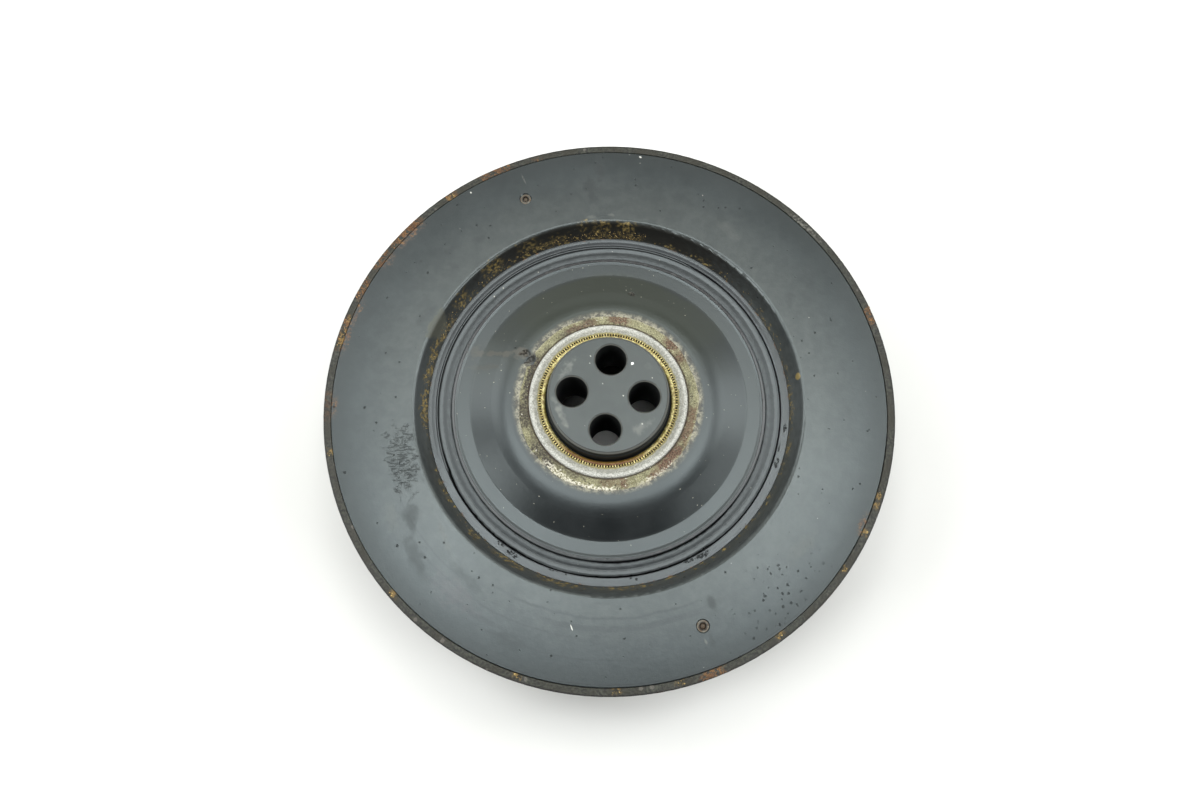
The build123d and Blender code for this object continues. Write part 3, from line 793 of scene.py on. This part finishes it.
# Painted highlight: the boss's chamfer is lightened.
colour = blend(painted_chamfer_highlight * 0.5, colour, (112, 112, 106))
colour = blend(dot * on_boss, colour, (245, 246, 244))
rough = ease(on_boss, 1, 0, 0.30, 0.62) + cloud * 0.05 + smudge * 0.25
marks = use("turning_marks", Fineness=2.5, Turns=3)
height = cloud * 0.15 + marks * 0.12
finish_skin(colour, rough, height, 0.00005)
dress("hub", hub_black)


# ---- Knurled sleeve ----
# A yellow-passivated steel sleeve pressed over the hub's shoulder. A row of small teeth round its
# outer edge bites into the disc and the collar, and shows as bright and dark points.

tooth_count, tooth_circle = 158, 23.95
tooth_length, tooth_width, tooth_height = 1.3, 0.46, 0.5
tooth_foot = 55.42
sleeve_yellow, tree = new_material("sleeve_yellow", Metallic=0.3)
stain = mottle(1.6, 0.35, 0.65, 5)
colour = blend(stain, (144, 135, 70), (198, 190, 132))
# Painted shade on the near side, round 268 degrees: the sleeve is darkened and browned there, most deeply in
# a narrow band from R 22.9 to 23.7 mm.
low = band(20, 24, 0.5, Middle=268, Half=36, Fade=16)
colour = blend(low * 0.9, colour, (106, 74, 4))
brown = mottle(0.7, 0.46, 0.56, 5, 5)
colour = blend(brown * 0.65, colour, (92, 66, 28))
painted_near_deep_shade = band(22.9, 23.7, 0.3, Middle=268, Half=40, Fade=22, Ragged=0.3)
colour = blend(painted_near_deep_shade * 0.85, colour, (82, 44, 0))
roots = band(23.45, 24.2, 0.2)
colour = blend(roots * 0.9, colour, (46, 32, 6))
finish_skin(colour, 0.4 + stain * 0.15, stain, 0.00006)
dress("knurled_sleeve", sleeve_yellow)


def end_with_real(instances):
    """Ends a Geometry Nodes tree: its instances are made real and take its material."""
    real = add("GeometryNodeRealizeInstances", {"Geometry": instances})
    give_out(Geometry=add("GeometryNodeSetMaterial", {"Geometry": real, "Material": given["Finish"]}))


def grow(name, group, start_mesh, **values):
    """Runs a Geometry Nodes tree on a mesh and returns the result as a plain mesh object."""
    start_mesh.materials.append(values["Finish"])
    made = set_out(name, start_mesh)
    modifier = made.modifiers.new(name, "NODES")
    modifier.node_group = bpy.data.node_groups[group]
    for item in modifier.node_group.interface.items_tree:
        if item.item_type == "SOCKET" and item.in_out == "INPUT" and item.name in values:
            modifier[item.identifier] = values[item.name]
    grown = made.evaluated_get(bpy.context.evaluated_depsgraph_get())
    mesh = bpy.data.meshes.new_from_object(grown)
    mesh.name = name
    made.modifiers.remove(modifier)
    made.data = mesh
    return made


def tooth_mesh():
    """One tooth: a wedge with a rounded ridge, its length along X."""
    shape = bmesh.new()
    rings = []
    for share, height in ((1, 0), (0.96, 0.45), (0.62, 0.9), (0.2, 1)):
        long, wide = tooth_length * 0.5 * (0.4 + 0.6 * share), tooth_width * 0.5 * share
        rings.append([shape.verts.new((x * long / MM, y * wide / MM, tooth_height * height / MM))
                      for x, y in ((-1, -1), (1, -1), (1, 1), (-1, 1))])
    for lower, upper in zip(rings, rings[1:]):
        for k in range(4):
            shape.faces.new((lower[k], lower[(k + 1) % 4], upper[(k + 1) % 4], upper[k]))
    shape.faces.new(rings[-1])
    shape.faces.new(rings[0][::-1])
    return plain_mesh("tooth", shape)


tree, given = new_group("tooth_row", {"Geometry": "Geometry", "Count": "Int", "Circle": "Float",
                                      "Foot": "Float", "Tooth": "Object", "Finish": "Material"}, "Geometry")
circle = add("GeometryNodeMeshCircle", {"Vertices": given["Count"], "Radius": given["Circle"]})
height = add("ShaderNodeCombineXYZ", {2: given["Foot"]})
raised = add("GeometryNodeTransform", {"Geometry": circle, "Translation": height})
tooth = add("GeometryNodeObjectInfo", {"Object": given["Tooth"]})
place = add("ShaderNodeSeparateXYZ", {0: add("GeometryNodeInputPosition")})
turn = add("ShaderNodeCombineXYZ", {2: calc("ARCTAN2", place[1], place[0])})
size = add("FunctionNodeRandomValue", {0: (0.55, 0.65, 0.45), 1: (1.1, 1.15, 1.2), 8: 4},
           data_type="FLOAT_VECTOR")
row = add("GeometryNodeInstanceOnPoints", {"Points": raised, "Instance": tooth["Geometry"], "Rotation": turn,
                                           "Scale": size})
end_with_real(row)
tooth_pattern = bpy.data.objects.new("tooth_pattern", tooth_mesh())
tooth_gold, tree = new_material("tooth_gold", Metallic=0.6)
stain = mottle(0.9, 0.35, 0.65, 4, 3)
colour = blend(stain, (150, 132, 66), (216, 204, 146))
finish_skin(colour, 0.28 + stain * 0.2, stain, 0.00005)
teeth = grow("knurl_teeth", "tooth_row", bpy.data.meshes.new("knurl_teeth_start"), Count=tooth_count,
             Circle=tooth_circle / MM, Foot=tooth_foot / MM, Tooth=tooth_pattern, Finish=tooth_gold)
bpy.data.objects.remove(tooth_pattern)
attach(teeth, "hub")


# ---- Collar ring ----
# A flat clamp ring of zinc-plated steel, pressed over the knurl and down on the disc. The plating is
# dull grey-white and finely speckled; its rounded-off edge is lightened as a painted highlight.

collar_zinc, tree = new_material("collar_zinc", Metallic=0.35)
fine = mottle(0.5, 0.3, 0.7, 5)
cloud = mottle(4, 0.35, 0.65, 4, 2)
colour = blend(fine, (112, 114, 106), (160, 160, 150))
colour = blend(cloud * 0.3, colour, (116, 114, 102))
yellow = band(23, 24.9, 0.5, Ragged=0.6, Grain=1.2)
colour = blend(yellow * 0.8, colour, (122, 114, 62))
roots = band(23, 24.35, 0.25, Ragged=0.2)
colour = blend(roots * 0.9, colour, (36, 28, 12))
# Painted highlight: the collar's rounded-off outer edge is lightened, broken up by the fine speckle.
edge = band(26.4, 28.4, 1, Ragged=0.5, Grain=0.8)
colour = blend(edge * ease(fine, 0, 1, 0.25, 0.7), colour, (196, 197, 190))
specks = speckle(0.9, 0.24, 0.35, 1)
colour = blend(specks * 0.55, colour, (84, 82, 74))
finish_skin(colour, 0.48 + fine * 0.14, fine, 0.00011)
dress("collar_ring", collar_zinc)


# ---- Rust grains and rust scale ----
# Loose grains of ochre and brown rust have gathered at the foot of the cover's flange, and scale has
# lifted off the bare rim. Each grain is a small lump, half sunk in the surface it lies on.

grain_seed = 11


def surface_heights(node, radii):
    """Heights in mm of a CAD node's upper surface at the given radii, at one place round the axis."""
    mesh, angle = cad[node].data, 0.3
    faces = BVHTree.FromPolygons([v.co[:] for v in mesh.vertices], [p.vertices[:] for p in mesh.polygons])
    starts = [Vector((r * math.cos(angle) / MM, r * math.sin(angle) / MM, 0.08)) for r in radii]
    return [faces.ray_cast(start, Vector((0, 0, -1)))[0].z * MM for start in starts]


def bed(name, node, radii, arcs):
    """A strip of mesh on a CAD node's surface, over the given arcs, for grains to lie on."""
    shape = bmesh.new()
    heights = surface_heights(node, radii)
    for middle, half in arcs:
        steps = max(2, int(half))
        angles = [math.radians(middle - half + 2 * half * i / steps) for i in range(steps + 1)]
        rows = [[turned_point(shape, r, a, z) for a in angles] for r, z in zip(radii, heights)]
        for lower, upper in zip(rows, rows[1:]):
            for k in range(steps):
                shape.faces.new((lower[k], upper[k], upper[k + 1], lower[k + 1]))
    return plain_mesh(name, shape)


tree, given = new_group("grain_scatter", {"Geometry": "Geometry", "Density": "Float", "Seed": "Int",
                                          "Smallest": "Float", "Largest": "Float", "Flatness": "Float",
                                          "Finish": "Material"}, "Geometry")
points = add("GeometryNodeDistributePointsOnFaces",
             {"Mesh": given["Geometry"], "Density": given["Density"], "Seed": given["Seed"]})
lump = add("GeometryNodeMeshIcoSphere", {"Radius": 1, "Subdivisions": 1})
size = add("FunctionNodeRandomValue", {2: given["Smallest"], 3: given["Largest"], 8: given["Seed"]},
           data_type="FLOAT")
uneven = add("FunctionNodeRandomValue", {0: (0.7, 0.55, 0.6), 1: (1.5, 1, 1), 8: 3},
             data_type="FLOAT_VECTOR")
lying = add("ShaderNodeCombineXYZ", {0: 1, 1: 1, 2: given["Flatness"]})
scale = add("ShaderNodeVectorMath", {0: vector("MULTIPLY", uneven, lying), "Scale": size[1]},
            operation="SCALE")
turn = add("FunctionNodeRandomValue", {0: (0, 0, 0), 1: (0.5, 0.5, 6.28), 8: 5}, data_type="FLOAT_VECTOR")
lumps = add("GeometryNodeInstanceOnPoints", {"Points": points, "Instance": lump, "Rotation": turn,
                                             "Scale": scale})
end_with_real(lumps)
grain_rust, tree = new_material("grain_rust")
tone = mottle(1.6, 0.38, 0.62, 2)
colour = blend(tone, (84, 66, 32), (176, 150, 92))
finish_skin(colour, 0.7 + tone * 0.15, tone, 0.00006)
scale_rust, tree = new_material("scale_rust")
rust = use("rust", Grain=0.8, Fresh=0.9)
tone = mottle(1.3, 0.35, 0.65, 3, 12)
colour = blend(tone * 0.5, rust["Color"], (104, 72, 40))
finish_skin(colour, 0.7 + tone * 0.15, rust["Height"], 0.00008)
# name, node, radii, arcs, grains per square metre, smallest, largest, flatness, material, body, slot
grain_jobs = [
    ("foot_grains", "housing_cover", [64.25, 64.7, 65.2, 65.8], [(172, 22), (112, 30), (92, 10)],
     7.0e5, 0.06, 0.2, 0.8, grain_rust, "damper", "cover_paint"),
    ("foot_grains_sparse", "housing_cover", [64.25, 64.8, 65.6], [(250, 40), (360, 60)],
     1.2e5, 0.05, 0.13, 0.8, grain_rust, "damper", "cover_paint"),
    ("rim_scale", "damper_housing", [96.7, 97.3, 98, 98.7], [row[:2] for row in rim_rust if row[2] > 0.6],
     2.6e6, 0.12, 0.42, 0.3, scale_rust, "damper", "housing_paint"),
    ("rim_grains", "damper_housing", [96.7, 97.4, 98.1], rim_ochre,
     1.6e6, 0.08, 0.3, 0.5, grain_rust, "damper", "housing_paint")]
for name, node, radii, arcs, density, smallest, largest, flatness, material, body, slot in grain_jobs:
    grains = grow(name, "grain_scatter", bed(name + "_bed", node, radii, arcs), Density=density,
                  Seed=grain_seed, Smallest=smallest / MM, Largest=largest / MM, Flatness=flatness,
                  Finish=material)
    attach(grains, body)


# ---- Studio ----
# A plain white table under soft boxes. The brightest hang above and just behind the camera, to the
# left and right of it, and paler ones light the sides and the far wall.

table_half = 3
table_white, tree = new_material("table_white")
cloud = mottle(160, 0.2, 0.8, 3)
colour = blend(cloud, (203, 204, 200), (208, 209, 206))
finish_skin(colour, 0.6 + cloud * 0.05, cloud, 0.00001)
table_mesh = bpy.data.meshes.new("table")
corners = [(x * table_half, y * table_half, 0) for x, y in ((-1, -1), (1, -1), (1, 1), (-1, 1))]
table_mesh.from_pydata(corners, [], [(0, 1, 2, 3)])
table = set_out("table", table_mesh)
table.data.materials.append(table_white)

cool, plain, warm = (0.98, 1, 1.02), (1, 1, 1), (1, 0.985, 0.95)
overhead = [  # name, across, along, brightness, tint
    ("left_near_edge", -0.33, -0.13, 2.8, cool), ("left_near", -0.33, 0.07, 13.7, cool),
    ("left_middle", -0.33, 0.27, 8.3, plain), ("left_far", -0.33, 0.47, 3.9, warm),
    ("middle_left_near", -0.11, 0.07, 10.8, cool), ("middle_left_far", -0.11, 0.47, 6, warm),
    ("middle_right_near", 0.11, 0.07, 6.3, cool), ("middle_right", 0.11, 0.27, 4.6, plain),
    ("middle_right_far", 0.11, 0.47, 8, warm), ("right_near_edge", 0.33, -0.13, 1, cool),
    ("right_near", 0.33, 0.07, 10.2, cool), ("right_middle", 0.33, 0.27, 11.7, plain),
    ("right_far", 0.33, 0.47, 2.3, warm)]
soft_boxes = [(name, (x, y, 1.31), 0.22, 0.20, *glow) for name, x, y, *glow in overhead]
soft_boxes += [  # name, place, width, length, brightness, tint
    ("left_side", (-0.95, 0.43, 1.15), 0.60, 0.70, 6.2, plain),
    ("right_side", (0.95, 0.43, 1.15), 0.60, 0.70, 6.6, plain),
    ("left_near_side", (-1.10, -0.45, 0.90), 0.60, 0.70, 10.5, plain),
    ("right_near_side", (1.10, -0.45, 0.90), 0.60, 0.70, 8, plain),
    ("far_wall", (0, 1.50, 1.30), 3.20, 1.00, 1.7, warm)]
for name, place, width, length, brightness, tint in soft_boxes:
    light = bpy.data.lights.new(name, "AREA")
    light.shape, light.size, light.size_y = "RECTANGLE", width, length
    light.energy, light.color = brightness * math.pi * width * length, tint
    towards = (-Vector(place)).to_track_quat("-Z", "Y").to_matrix().to_4x4()
    set_out(name, light).matrix_world = Matrix.Translation(place) @ towards
room = bpy.data.worlds.new("room")
room.use_nodes = True
background = room.node_tree.nodes["Background"].inputs
background["Color"].default_value = srgb(250, 252, 255)
background["Strength"].default_value = 0.06
bpy.context.scene.world = room

camera_place, camera_lens = (0.00780, -0.08955, 0.36310), 27.48
camera_tilt, camera_roll, camera_turn = math.radians(16.28), math.radians(-2.48), math.radians(6.81)
camera = set_out("camera", bpy.data.cameras.new("camera"))
camera.data.lens, camera.data.sensor_width = camera_lens, 36
camera.data.clip_start, camera.data.clip_end = 0.01, 20
camera.matrix_world = (Matrix.Translation(camera_place) @ Matrix.Rotation(camera_turn, 4, "Z")
                       @ Matrix.Rotation(camera_tilt, 4, "X") @ Matrix.Rotation(camera_roll, 4, "Z"))
bpy.context.scene.camera = camera
bpy.context.scene.view_settings.view_transform = "Standard"
